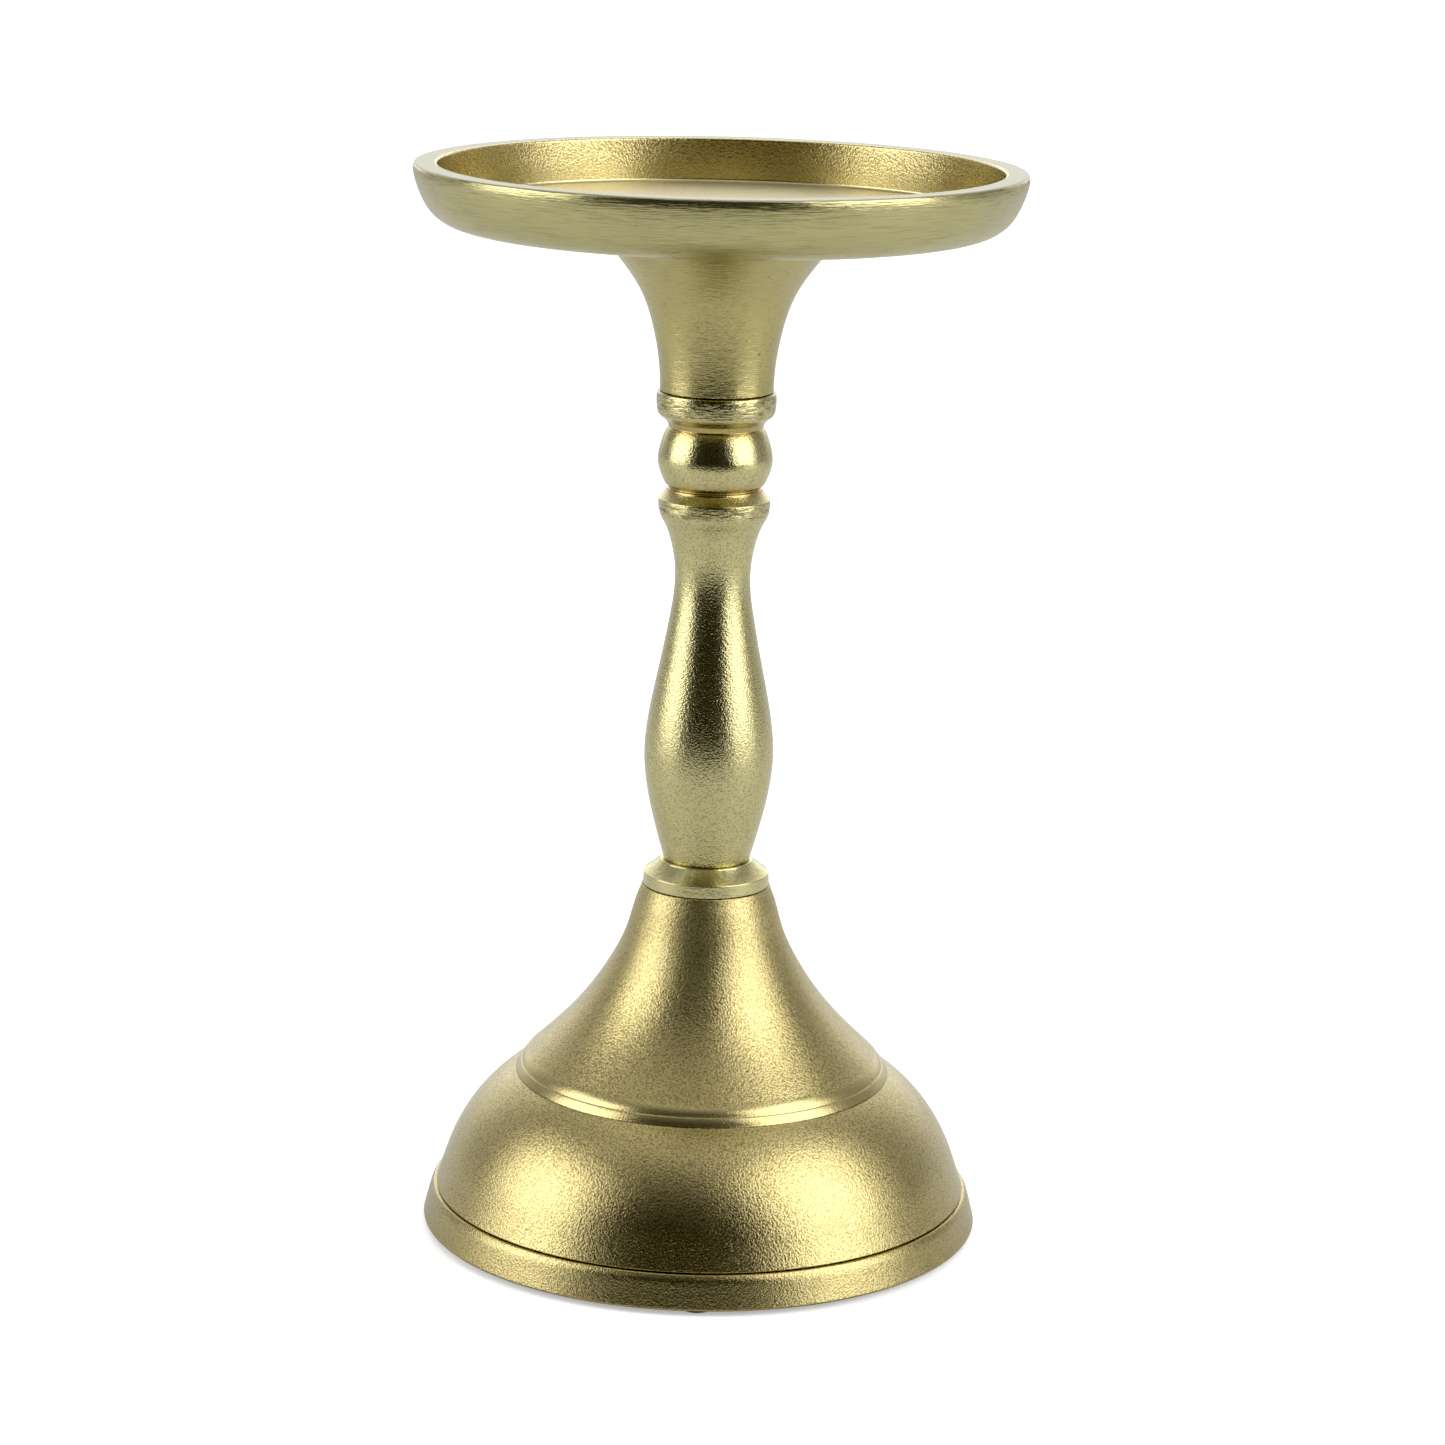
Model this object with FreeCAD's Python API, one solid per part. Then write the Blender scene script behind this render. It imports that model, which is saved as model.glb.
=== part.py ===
import FreeCAD, Part
import math
import os

# Pillar candle holder: a turned dish on a flared neck, a baluster stem, a collar and a bell
# foot, all threaded on one tie rod. Millimetres, Z up, origin on the table under the centre.

# ---- driving dimensions -------------------------------------------------------------------

DISH_R = 51.0             # outside of the rim
DISH_RIM_W = 4.0          # flat top of the rim
DISH_EDGE = 0.45          # rounded edges of the rim
DISH_DEPTH = 7.55         # from the rim down to the floor the candle stands on
DISH_FLOOR_T = 2.7
DISH_FLOOR_R = 46.1       # flat part of the floor
DISH_COVE_R = 0.5         # between the floor and the inner wall
DISH_HEEL_R = 42.85       # where the flat underside turns up into the wall
DISH_HEEL_ROUND = 7.1     # radius of that turn
DISH_LEAN = 30.0          # degrees the wall still leans out where that turn ends
DISH_WALL_TURN = 18.0     # degrees it straightens by on the way up to the brow
DISH_BROW_H = 1.2         # brow: the last of the wall, curving upright and in to the rim
DISH_BROW_TURN = 24.0

NECK_H = 27.3             # flared neck, foot to dish
NECK_FOOT_R = 9.55
NECK_TOP_R = 22.2
NECK_LIP = 0.4            # upright edge of the flare under the dish

STEM_H = 80.15            # baluster and its rings, above the foot of the stem
STEM_FOOT_H = 0.85        # foot of the stem, on the collar
STEM_FOOT_R = 7.4
BELLY_R = 11.05           # widest point of the baluster
WAIST_R = 6.4             # narrowest point of the baluster
DRUM_R = 9.46             # ring under the ball
BALL_R = 9.68
RING_R = 10.1             # ring under the neck
GROOVE_R = 7.75           # bottom of the turned grooves beside the ball

COLLAR_H = 4.5
COLLAR_R = 10.85
COLLAR_BAND_H = 2.1       # upright band under the sloping top
COLLAR_TOP_R = 7.95       # flat top, just wider than the foot of the stem

BELL_H = 54.1             # bell, above the foot ring
BELL_TOP_R = 11.05
BELL_FOOT_R = 45.95
BELL_KNEE_R = 44.07       # where the straight foot of the bell starts to round over
BELL_KNEE_Z = 5.8
BELL_ROUND_TURN = 37.5    # degrees the round turns by, from the knee to the step
BELL_WALL = 3.0
BELL_BOSS_T = 9.7         # solid metal under the top of the bell
STEP_R = 32.25            # sharp inner corner of the step
STEP_Z = 20.6
STEP_H = 2.7              # the step is two shallow beads with a fine ledge between them
STEP_IN = 1.8             # how far it leans in over that height
STEP_BEAD_H = 1.4         # the lower bead
STEP_BEAD_IN = 0.8
STEP_LEDGE = 0.15

FOOT_H = 5.8              # visible band of the foot ring
FOOT_R = 48.15            # widest, near the table
FOOT_SHOULDER_R = 47.05
FOOT_LEDGE_R = 46.3       # top edge, just proud of the bell
FOOT_BORE_R = 40.6
FOOT_EDGE_R = 0.4
FOOT_LIP_H = 3.0          # lip inside the bell that centres it

PAD_COUNT = 4
PAD_R = 2.8
PAD_T = 0.8
PAD_PITCH_R = 44.0

ROD_R = 3.0               # M6 threaded rod
ROD_HOLE_R = 3.25
ROD_CHAMFER = 0.5
ROD_TAIL = 2.5            # thread left showing under the nut
ROD_GRIP = 7.1            # thread inside the boss of the dish
ROD_TIP_GAP = 0.5         # blind hole beyond the end of the rod
BOSS_R = 8.0              # boss under the dish
BOSS_H = 8.5
BOSS_CHAMFER = 0.6

WASHER_R = 9.0
WASHER_BORE_R = 3.2
WASHER_T = 1.6
SPRING_R = 5.9
SPRING_BORE_R = 3.1
SPRING_T = 1.5
SPRING_SPLIT = 0.8        # width of the split
SPRING_SPLIT_LEAN = 25.0  # degrees the split leans over
NUT_ACROSS_FLATS = 10.0
NUT_T = 5.0
NUT_CHAMFER = 0.6

NECK_SPIGOT_R = 6.0       # centres the neck in the top of the stem
NECK_SPIGOT_H = 3.0
STEM_SPIGOT_R = 5.5       # centres the stem in the collar
STEM_SPIGOT_H = 2.5
COLLAR_SPIGOT_R = 7.0     # centres the collar in the bell
COLLAR_SPIGOT_H = 2.0
SPIGOT_GAP = 0.1          # round each spigot
SPIGOT_SINK = 0.2         # beyond the end of each spigot

# ---- levels above the table ---------------------------------------------------------------

FOOT_Z = PAD_T
BELL_Z = FOOT_Z + FOOT_H
COLLAR_Z = BELL_Z + BELL_H
STEM_Z = COLLAR_Z + COLLAR_H + STEM_FOOT_H
NECK_Z = STEM_Z + STEM_H
DISH_Z = NECK_Z + NECK_H
WASHER_Z = COLLAR_Z - BELL_BOSS_T - WASHER_T
SPRING_Z = WASHER_Z - SPRING_T
NUT_Z = SPRING_Z - NUT_T
ROD_Z = NUT_Z - ROD_TAIL
ROD_TOP_Z = DISH_Z - BOSS_H + ROD_GRIP

UP = FreeCAD.Vector(0, 0, 1)


def at(r, z):
    return FreeCAD.Vector(r, 0, z)


class Outline:
    """A half section beside the Z axis, drawn anticlockwise edge by edge, then spun."""

    def __init__(self, r, z):
        self.start = at(r, z)
        self.here = self.start
        self.edges = []

    def line(self, r, z):
        end = at(r, z)
        self.edges.append(Part.LineSegment(self.here, end).toShape())
        self.here = end

    def arc(self, r, z, turn):
        """An arc that turns by this many degrees: positive is convex, negative is hollow."""
        end = at(r, z)
        run = end - self.here
        outward = FreeCAD.Vector(run.z, 0, -run.x)
        middle = (self.here + end) * 0.5 + outward * (math.tan(math.radians(turn) / 4) / 2)
        self.edges.append(Part.Arc(self.here, middle, end).toShape())
        self.here = end

    def barrel(self, r, z):
        """A convex arc that stands upright at whichever of its ends is the wider."""
        spread = abs(r - self.here.x)
        rise = abs(z - self.here.z)
        self.arc(r, z, 2 * math.degrees(math.atan2(spread, rise)))

    def curve(self, points, leave, arrive):
        """A smooth curve through the points, with its (r, z) direction at both ends."""
        through = [self.here] + [at(r, z) for r, z in points]
        spline = Part.BSplineCurve()
        spline.interpolate(Points=through, InitialTangent=at(*leave), FinalTangent=at(*arrive))
        self.edges.append(spline.toShape())
        self.here = through[-1]

    def spin(self, lift):
        """Close the outline, turn it once round the Z axis and raise it into place."""
        if self.here.distanceToPoint(self.start) > 1e-7:
            self.line(self.start.x, self.start.z)
        shape = Part.Face(Part.Wire(self.edges)).revolve(FreeCAD.Vector(), UP, 360)
        shape.translate(UP * lift)
        return shape


# ---- dish and neck ------------------------------------------------------------------------

def candle_dish():
    """Round dish with a rounded heel, and a tapped blind boss underneath for the tie rod."""
    rim_z = DISH_FLOOR_T + DISH_DEPTH
    hole_z = ROD_GRIP + ROD_TIP_GAP - BOSS_H
    lean = math.radians(DISH_LEAN)
    heel_end_r = DISH_HEEL_R + DISH_HEEL_ROUND * math.cos(lean)
    heel_end_z = DISH_HEEL_ROUND * (1 - math.sin(lean))
    brow_r = DISH_R - DISH_BROW_H / 2 * math.tan(math.radians(DISH_BROW_TURN) / 4)
    inner_r = DISH_R - DISH_RIM_W
    half = Outline(0, hole_z)
    half.line(ROD_R, hole_z)
    half.line(ROD_R, -BOSS_H)
    half.line(BOSS_R - BOSS_CHAMFER, -BOSS_H)
    half.line(BOSS_R, BOSS_CHAMFER - BOSS_H)
    half.line(BOSS_R, 0)
    half.line(DISH_HEEL_R, 0)
    half.arc(heel_end_r, heel_end_z, 90 - DISH_LEAN)
    half.arc(brow_r, rim_z - DISH_EDGE - DISH_BROW_H, DISH_WALL_TURN)
    half.arc(brow_r, rim_z - DISH_EDGE, DISH_BROW_TURN)
    half.arc(DISH_R - DISH_EDGE, rim_z, 90 - DISH_BROW_TURN)
    half.line(inner_r + DISH_EDGE, rim_z)
    half.arc(inner_r, rim_z - DISH_EDGE, 90)
    half.line(DISH_FLOOR_R + DISH_COVE_R, DISH_FLOOR_T + DISH_COVE_R)
    half.arc(DISH_FLOOR_R, DISH_FLOOR_T, -90)
    half.line(0, DISH_FLOOR_T)
    return half.spin(DISH_Z)


def flared_neck():
    """Trumpet-shaped neck, with a socket for the boss of the dish and a spigot below."""
    socket_r = BOSS_R + SPIGOT_GAP
    socket_z = NECK_H - BOSS_H - SPIGOT_SINK
    foot_edge = 0.15
    flare = [(9.82, 4.8), (10.92, 10.8), (13.07, 16.8), (15.98, 21.2)]
    half = Outline(ROD_HOLE_R, -NECK_SPIGOT_H)
    half.line(NECK_SPIGOT_R, -NECK_SPIGOT_H)
    half.line(NECK_SPIGOT_R, 0)
    half.line(NECK_FOOT_R - foot_edge, 0)
    half.arc(NECK_FOOT_R, foot_edge, 90)
    half.curve(flare + [(NECK_TOP_R, NECK_H - NECK_LIP)], (0, 1), (1.7, 1))
    half.line(NECK_TOP_R, NECK_H)
    half.line(socket_r, NECK_H)
    half.line(socket_r, socket_z)
    half.line(ROD_HOLE_R, socket_z)
    return half.spin(NECK_Z)


# ---- stem and collar ----------------------------------------------------------------------

def baluster_stem():
    """Baluster, ring, ball and top ring turned in one piece, bored through for the rod."""
    foot_edge = 0.15
    socket_r = NECK_SPIGOT_R + SPIGOT_GAP
    socket_z = STEM_H - NECK_SPIGOT_H - SPIGOT_SINK
    belly = [(9.5, 6.95), (10.65, 12.7), (BELLY_R, 18.2), (10.36, 24.95), (8.79, 32.95)]
    waist = [(7.25, 40.95), (WAIST_R, 48.6), (7.34, 54.95), (8.5, 57.9)]
    ball = [(9.09, 65.95), (BALL_R, 68.4), (9.27, 71.1), (8.66, 72.95), (8.1, 74.0)]
    half = Outline(ROD_HOLE_R, -STEM_FOOT_H - STEM_SPIGOT_H)
    half.line(STEM_SPIGOT_R, -STEM_FOOT_H - STEM_SPIGOT_H)
    half.line(STEM_SPIGOT_R, -STEM_FOOT_H)
    half.line(STEM_FOOT_R - foot_edge, -STEM_FOOT_H)
    half.arc(STEM_FOOT_R, foot_edge - STEM_FOOT_H, 75)
    half.curve(belly + waist, (0.3, 1), (0.55, 1))
    # drum under the ball, with a slope up to a fine bead
    half.barrel(DRUM_R, 61.0)
    half.line(DRUM_R, 61.85)
    half.arc(DRUM_R - 0.12, 62.0, 60)
    half.arc(8.1, 63.4, -12)
    half.arc(GROOVE_R, 63.85, 80)
    half.line(GROOVE_R, 64.0)
    # ball
    half.arc(8.4, 64.5, 15)
    half.curve(ball, (0.55, 1), (-0.7, 1))
    half.line(GROOVE_R + 0.2, 74.1)
    half.line(GROOVE_R + 0.25, 74.3)
    half.line(8.3, 75.0)
    # top ring
    half.arc(9.4, 75.95, -15)
    half.arc(RING_R - 0.14, 77.0, 42)
    half.barrel(RING_R, 78.7)
    half.barrel(RING_R - 0.08, 79.75)
    half.arc(RING_R - 0.5, STEM_H, 80)
    half.line(socket_r, STEM_H)
    half.line(socket_r, socket_z)
    half.line(ROD_HOLE_R, socket_z)
    return half.spin(STEM_Z)


def stem_collar():
    """Turned disc between the stem and the bell, centred on both."""
    top_edge = 0.2
    socket_r = STEM_SPIGOT_R + SPIGOT_GAP
    socket_z = COLLAR_H - STEM_SPIGOT_H - SPIGOT_SINK
    half = Outline(ROD_HOLE_R, -COLLAR_SPIGOT_H)
    half.line(COLLAR_SPIGOT_R, -COLLAR_SPIGOT_H)
    half.line(COLLAR_SPIGOT_R, 0)
    half.line(COLLAR_R - 0.1, 0)
    half.line(COLLAR_R, 0.1)
    half.line(COLLAR_R - 0.06, COLLAR_BAND_H)
    half.arc(COLLAR_R - 0.25, COLLAR_BAND_H + 0.18, 60)
    half.arc(COLLAR_TOP_R + top_edge, COLLAR_H - top_edge, -12)
    half.arc(COLLAR_TOP_R, COLLAR_H, 50)
    half.line(socket_r, COLLAR_H)
    half.line(socket_r, socket_z)
    half.line(ROD_HOLE_R, socket_z)
    return half.spin(COLLAR_Z)


# ---- base ---------------------------------------------------------------------------------

def base_bell():
    """Cast bell, open underneath: a straight foot, a round, a beaded step and a skirt."""
    edge = 0.3
    socket_r = COLLAR_SPIGOT_R + SPIGOT_GAP
    socket_z = BELL_H - COLLAR_SPIGOT_H - SPIGOT_SINK
    ceiling_z = BELL_H - BELL_BOSS_T
    ledge_r = STEP_R - STEP_BEAD_IN
    ledge_z = STEP_Z + STEP_BEAD_H
    top_r = STEP_R - STEP_IN
    top_z = STEP_Z + STEP_H
    skirt = [(25.2, 28.4), (20.08, 34.4), (16.18, 40.4), (13.41, 46.4), (11.75, 52.0)]
    inner_skirt = [(13.55, 38.95), (17.68, 32.6), (23.06, 26.3), (29.8, 18.6)]
    half = Outline(BELL_FOOT_R - BELL_WALL, 0)
    half.line(BELL_FOOT_R - edge, 0)
    half.arc(BELL_FOOT_R, edge, 70)
    half.line(BELL_KNEE_R, BELL_KNEE_Z)
    half.arc(STEP_R, STEP_Z, BELL_ROUND_TURN)
    half.arc(ledge_r, ledge_z, 16)
    half.line(ledge_r - STEP_LEDGE, ledge_z + STEP_LEDGE / 2)
    half.arc(top_r, top_z, 24)
    half.arc(top_r - 0.6, top_z + 0.55, 10)
    half.curve(skirt + [(BELL_TOP_R, BELL_H - 0.15)], (-1.05, 1), (-0.26, 1))
    half.line(BELL_TOP_R - 0.15, BELL_H)
    half.line(socket_r, BELL_H)
    half.line(socket_r, socket_z)
    half.line(ROD_HOLE_R, socket_z)
    half.line(ROD_HOLE_R, ceiling_z)
    half.line(10.6, ceiling_z)
    half.curve(inner_skirt, (0.45, -1), (1.5, -1))
    half.arc(BELL_KNEE_R - BELL_WALL, BELL_KNEE_Z, -BELL_ROUND_TURN)
    return half.spin(BELL_Z)


def foot_ring():
    """Seamed band round the foot of the bell, with a lip that centres the bell."""
    lip_slope = (BELL_FOOT_R - BELL_KNEE_R) / BELL_KNEE_Z
    lip_r = BELL_FOOT_R - BELL_WALL - SPIGOT_GAP
    half = Outline(FOOT_BORE_R, 0)
    half.line(FOOT_R - FOOT_EDGE_R, 0)
    half.arc(FOOT_R, FOOT_EDGE_R, 76)
    half.line(FOOT_SHOULDER_R, FOOT_H - 1.2)
    half.arc(FOOT_LEDGE_R + 0.2, FOOT_H - 0.15, 25)
    half.arc(FOOT_LEDGE_R, FOOT_H, 40)
    half.line(lip_r, FOOT_H)
    half.line(lip_r - lip_slope * FOOT_LIP_H, FOOT_H + FOOT_LIP_H)
    half.line(FOOT_BORE_R, FOOT_H + FOOT_LIP_H)
    return half.spin(FOOT_Z)


def felt_pad(number):
    """One of the felt pads stuck evenly round the underside of the foot ring."""
    angle = 2 * math.pi * number / PAD_COUNT
    place = FreeCAD.Vector(PAD_PITCH_R * math.cos(angle), PAD_PITCH_R * math.sin(angle), 0)
    return Part.makeCylinder(PAD_R, PAD_T, place)


# ---- fasteners ----------------------------------------------------------------------------

def tie_rod():
    """Threaded rod from under the bell up into the boss of the dish, without its thread."""
    length = ROD_TOP_Z - ROD_Z
    half = Outline(0, 0)
    half.line(ROD_R - ROD_CHAMFER, 0)
    half.line(ROD_R, ROD_CHAMFER)
    half.line(ROD_R, length - ROD_CHAMFER)
    half.line(ROD_R - ROD_CHAMFER, length)
    half.line(0, length)
    return half.spin(ROD_Z)


def ring(outer_r, inner_r, thickness, bottom):
    half = Outline(inner_r, 0)
    half.line(outer_r, 0)
    half.line(outer_r, thickness)
    half.line(inner_r, thickness)
    return half.spin(bottom)


def flat_washer():
    return ring(WASHER_R, WASHER_BORE_R, WASHER_T, WASHER_Z)


def spring_washer():
    """Split washer, pressed flat by the nut, with a leaning split on its +X side."""
    cutter = Part.makeBox(SPRING_R, SPRING_SPLIT, 4 * SPRING_T)
    cutter.translate(FreeCAD.Vector(0, -SPRING_SPLIT / 2, -2 * SPRING_T))
    cutter.rotate(FreeCAD.Vector(), FreeCAD.Vector(1, 0, 0), SPRING_SPLIT_LEAN)
    cutter.translate(FreeCAD.Vector(SPRING_BORE_R / 2, 0, SPRING_Z + SPRING_T / 2))
    return ring(SPRING_R, SPRING_BORE_R, SPRING_T, SPRING_Z).cut(cutter)


def hex_nut():
    """Hexagon nut with both faces chamfered; its hole is the outside of the rod."""
    corner_r = NUT_ACROSS_FLATS / math.sqrt(3)
    flat_r = NUT_ACROSS_FLATS / 2
    corners = [
        FreeCAD.Vector(corner_r * math.cos(math.pi * k / 3), corner_r * math.sin(math.pi * k / 3), 0)
        for k in range(7)
    ]
    prism = Part.Face(Part.makePolygon(corners)).extrude(UP * NUT_T)
    half = Outline(ROD_R, 0)
    half.line(flat_r, 0)
    half.line(corner_r + 0.1, NUT_CHAMFER)
    half.line(corner_r + 0.1, NUT_T - NUT_CHAMFER)
    half.line(flat_r, NUT_T)
    half.line(ROD_R, NUT_T)
    nut = prism.common(half.spin(0))
    nut.translate(UP * NUT_Z)
    return nut


# ---- write one file for each sub-part -----------------------------------------------------

parts = {
    "candle_dish": candle_dish(),
    "flared_neck": flared_neck(),
    "baluster_stem": baluster_stem(),
    "stem_collar": stem_collar(),
    "base_bell": base_bell(),
    "foot_ring": foot_ring(),
    "tie_rod": tie_rod(),
    "flat_washer": flat_washer(),
    "spring_washer": spring_washer(),
    "hex_nut": hex_nut(),
}
for number in range(PAD_COUNT):
    parts[f"felt_pad_{number + 1}"] = felt_pad(number)

os.makedirs("parts", exist_ok=True)
for name, shape in parts.items():
    solid = shape.Solids[0]
    if len(shape.Solids) != 1 or not solid.isValid() or solid.Volume <= 0:
        raise ValueError(f"{name} is not one sound solid")
    solid.exportStep(f"parts/{name}.step")
    box = solid.BoundBox
    print(f"{name:16s} {solid.Volume:10.1f} mm3  z {box.ZMin:7.2f} to {box.ZMax:7.2f}"
          f"  r {box.XMax:6.2f}")
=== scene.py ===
import math

import bpy
import numpy as np
from mathutils import Matrix, Vector, noise


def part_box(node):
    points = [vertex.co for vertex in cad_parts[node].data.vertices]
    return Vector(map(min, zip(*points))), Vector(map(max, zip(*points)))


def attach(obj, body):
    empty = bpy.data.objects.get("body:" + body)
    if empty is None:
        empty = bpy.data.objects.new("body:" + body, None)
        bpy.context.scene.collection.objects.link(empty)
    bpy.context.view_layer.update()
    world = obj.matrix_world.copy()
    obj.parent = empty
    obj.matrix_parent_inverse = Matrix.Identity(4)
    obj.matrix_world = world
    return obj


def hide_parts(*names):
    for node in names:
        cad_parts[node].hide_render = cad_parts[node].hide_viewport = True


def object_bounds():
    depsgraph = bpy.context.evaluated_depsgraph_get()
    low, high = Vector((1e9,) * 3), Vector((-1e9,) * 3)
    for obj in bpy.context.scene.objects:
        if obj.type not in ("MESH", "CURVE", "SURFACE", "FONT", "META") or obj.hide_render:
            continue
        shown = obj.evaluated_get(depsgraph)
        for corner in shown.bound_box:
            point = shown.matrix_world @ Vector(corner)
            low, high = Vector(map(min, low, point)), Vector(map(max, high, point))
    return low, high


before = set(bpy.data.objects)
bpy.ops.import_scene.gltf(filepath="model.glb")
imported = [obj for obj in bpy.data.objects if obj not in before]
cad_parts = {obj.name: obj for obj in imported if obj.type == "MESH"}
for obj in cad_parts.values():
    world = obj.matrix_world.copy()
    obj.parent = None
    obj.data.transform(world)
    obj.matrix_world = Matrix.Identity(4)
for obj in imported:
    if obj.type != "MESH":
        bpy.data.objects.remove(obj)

# Pillar candle holder in cast and turned metal with a champagne-gold finish. Metres, Z up,
# origin on the table under the middle. The gold pieces are spun from the outlines of the
# nodes that they replace. The tie rod gets a thread and the felt pads get a soft edge. The
# washers and the nut keep their nodes and get a new finish.

cad_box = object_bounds()

MM = 0.001
TINY = 1e-7                   # closer to the axis or to its plane than this is on it

# ---- camera and table ---------------------------------------------------------------------

CAMERA_BACK = 689.54 * MM
CAMERA_HEIGHT = 254.68 * MM
CAMERA_DOWN = 13.506          # degrees
CAMERA_YAW = 0.186
CAMERA_ROLL = 1.318
CAMERA_LENS = 103.49          # mm, on a sensor of the next width
CAMERA_SENSOR = 36.0
CAMERA_NEAR = 0.01
CAMERA_FAR = 50.0

TABLE_R = 9.0
TABLE_SIDES = 96
TABLE_FRONT = 0.40            # from the axis to the table's front edge
TABLE_HOLE_R = 40.0 * MM      # hidden under the foot; lets light in to the underside
TABLE_LIFT = 0.40             # keeps the table as white as the backdrop to the camera

# ---- light --------------------------------------------------------------------------------

# Softboxes: degrees of azimuth (0 is the camera's side, 90 is +X) and of elevation of the
# middle, degrees of width and height as seen from the object, and radiance.
SOFTBOX_AWAY = 1.3
SOFTBOXES = {
    "softbox_left": (-79.0, 20.0, 42.0, 42.0, 2.8),
    "softbox_right": (63.0, 28.0, 47.0, 58.0, 2.9),
}
DARK_EDGE = (42.0, 62.0)      # azimuths between which the dark front gives way to the sides
BACK_EDGE = (120.0, 172.0)    # azimuths between which the sides give way to the white back
HIGH_EDGE = (30.0, 46.0)      # elevations between which the dark front lightens a little
CEILING_EDGE = (52.0, 76.0)   # elevations between which the walls give way to the ceiling
FLOOR_EDGE = (-2.0, -12.0)    # elevations between which the walls give way to the floor
FRONT_TO_BACK = (-0.35, 0.35)    # y of a direction, over which ceiling and floor brighten
FRONT_GLOW = 0.03
FRONT_HIGH_GLOW = 0.16
SIDE_GLOW = 0.40
BACK_GLOW = 1.8
CEILING_FRONT_GLOW = 0.76
CEILING_BACK_GLOW = 1.4
FLOOR_FRONT_GLOW = 0.08       # below the horizon in front, beyond the table's edge
FLOOR_BACK_GLOW = 0.6
BACKDROP_WHITE = 1.0          # what the camera sees beyond the table
PRINT_BLACK = 0.008

# ---- places on the object -----------------------------------------------------------------


def top_of(node):
    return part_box(node)[1].z


RIM_Z = top_of("candle_dish")
DISH_FLOOR_Z = 176.2 * MM
DISH_INNER_R = 47.0 * MM
STEM_TOP_Z = top_of("baluster_stem")
RING_BAND = (STEM_TOP_Z - 3.6 * MM, STEM_TOP_Z - 0.5 * MM)
DRUM_BAND = (STEM_TOP_Z - 20.6 * MM, STEM_TOP_Z - 18.5 * MM)
WAIST_Z = STEM_TOP_Z - 22.0 * MM    # the grain of the stem is deeper below this
GROOVE_R = 7.75 * MM          # bottom of the grooves beside the ball of the stem
BELL_TOP_Z = top_of("base_bell")
SKIRT_DULL_Z = 38.0 * MM      # from here up the skirt of the bell is less polished
STEP_Z = 27.2 * MM            # foot of the step round the bell
STEP_H = 2.9 * MM
FOOT_LIP_H = 3.0 * MM         # of the foot ring, hidden inside the bell
FOOT_SEAM_Z = top_of("foot_ring") - FOOT_LIP_H

# ---- meshes -------------------------------------------------------------------------------

CORNER_TURN = 14.0            # degrees; a sharper turn in an outline is a corner
CORNER_ROUND = 0.07 * MM      # each corner is eased by this much
CORNER_SHARE = 0.4            # but by no more than this share of the way to its neighbour
FINE_STEP = 0.4 * MM          # along the outside of a piece
COARSE_STEP = 1.6 * MM        # along its bores and its hidden faces
DISH_FINE_Z = 173.4 * MM      # the boss under the dish is coarse up to here
NECK_FINE_R = 8.6 * MM        # the other pieces are coarse up to these radii
STEM_FINE_R = 6.3 * MM
COLLAR_FINE_R = 7.3 * MM
FOOT_FINE_R = 45.5 * MM

THREAD_PITCH = 1.0 * MM
THREAD_DEPTH = 0.6 * MM
THREAD_SIDES = 24
THREAD_STEPS = 8              # rings of points in each turn of the thread

PAD_COUNT = 4
PAD_EDGE = 0.35 * MM          # radius of the rounded lower edge
PAD_EDGE_STEPS = 8
PAD_STEP = 0.12 * MM
PAD_SIDES = 72
PAD_FUZZ_DEPTH = 0.08 * MM
PAD_FUZZ_LENGTH = 0.35 * MM
PAD_SEED = 23.0               # the number of the pad is added

# ---- colours ------------------------------------------------------------------------------


def rgb(r, g, b):
    return (r, g, b, 1.0)


def grey(value):
    return rgb(value, value, value)


def shade(colour, share):
    return rgb(*[c * share for c in colour[:3]])


WARM_GOLD = rgb(0.50, 0.42, 0.195)
PALE_GOLD = rgb(0.59, 0.54, 0.28)
NECK_GOLD = rgb(0.49, 0.43, 0.19)
DISH_GOLD = rgb(0.49, 0.45, 0.225)
DEEP_GOLD = rgb(0.67, 0.575, 0.29)
SATIN_BEIGE = rgb(0.66, 0.58, 0.36)
# painted sheen: the rim's silver grey stands in for the whitening of its grazing reflection
RIM_PAINTED_SHEEN = rgb(0.34, 0.33, 0.25)
OLIVE = rgb(0.20, 0.16, 0.05)
# painted shade: the brown of shade and gold interreflection in the grooves beside the ball
GROOVE_SHADE_AMBER = rgb(0.38, 0.25, 0.06)
# dark brown: painted shade in the seams and creases, and the colour of nicks and tool marks
SHADE_AND_MARK_BROWN = rgb(0.07, 0.04, 0.01)
ZINC_DARK = rgb(0.52, 0.53, 0.54)
ZINC_PALE = rgb(0.70, 0.71, 0.72)
FELT_DARK = rgb(0.02, 0.02, 0.02)
FELT_PALE = rgb(0.10, 0.09, 0.08)
TABLE_REFLECTED = grey(0.73)
TABLE_DULL = grey(0.84)
TABLE_PALE = grey(0.88)


# ---- outlines -----------------------------------------------------------------------------

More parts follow.
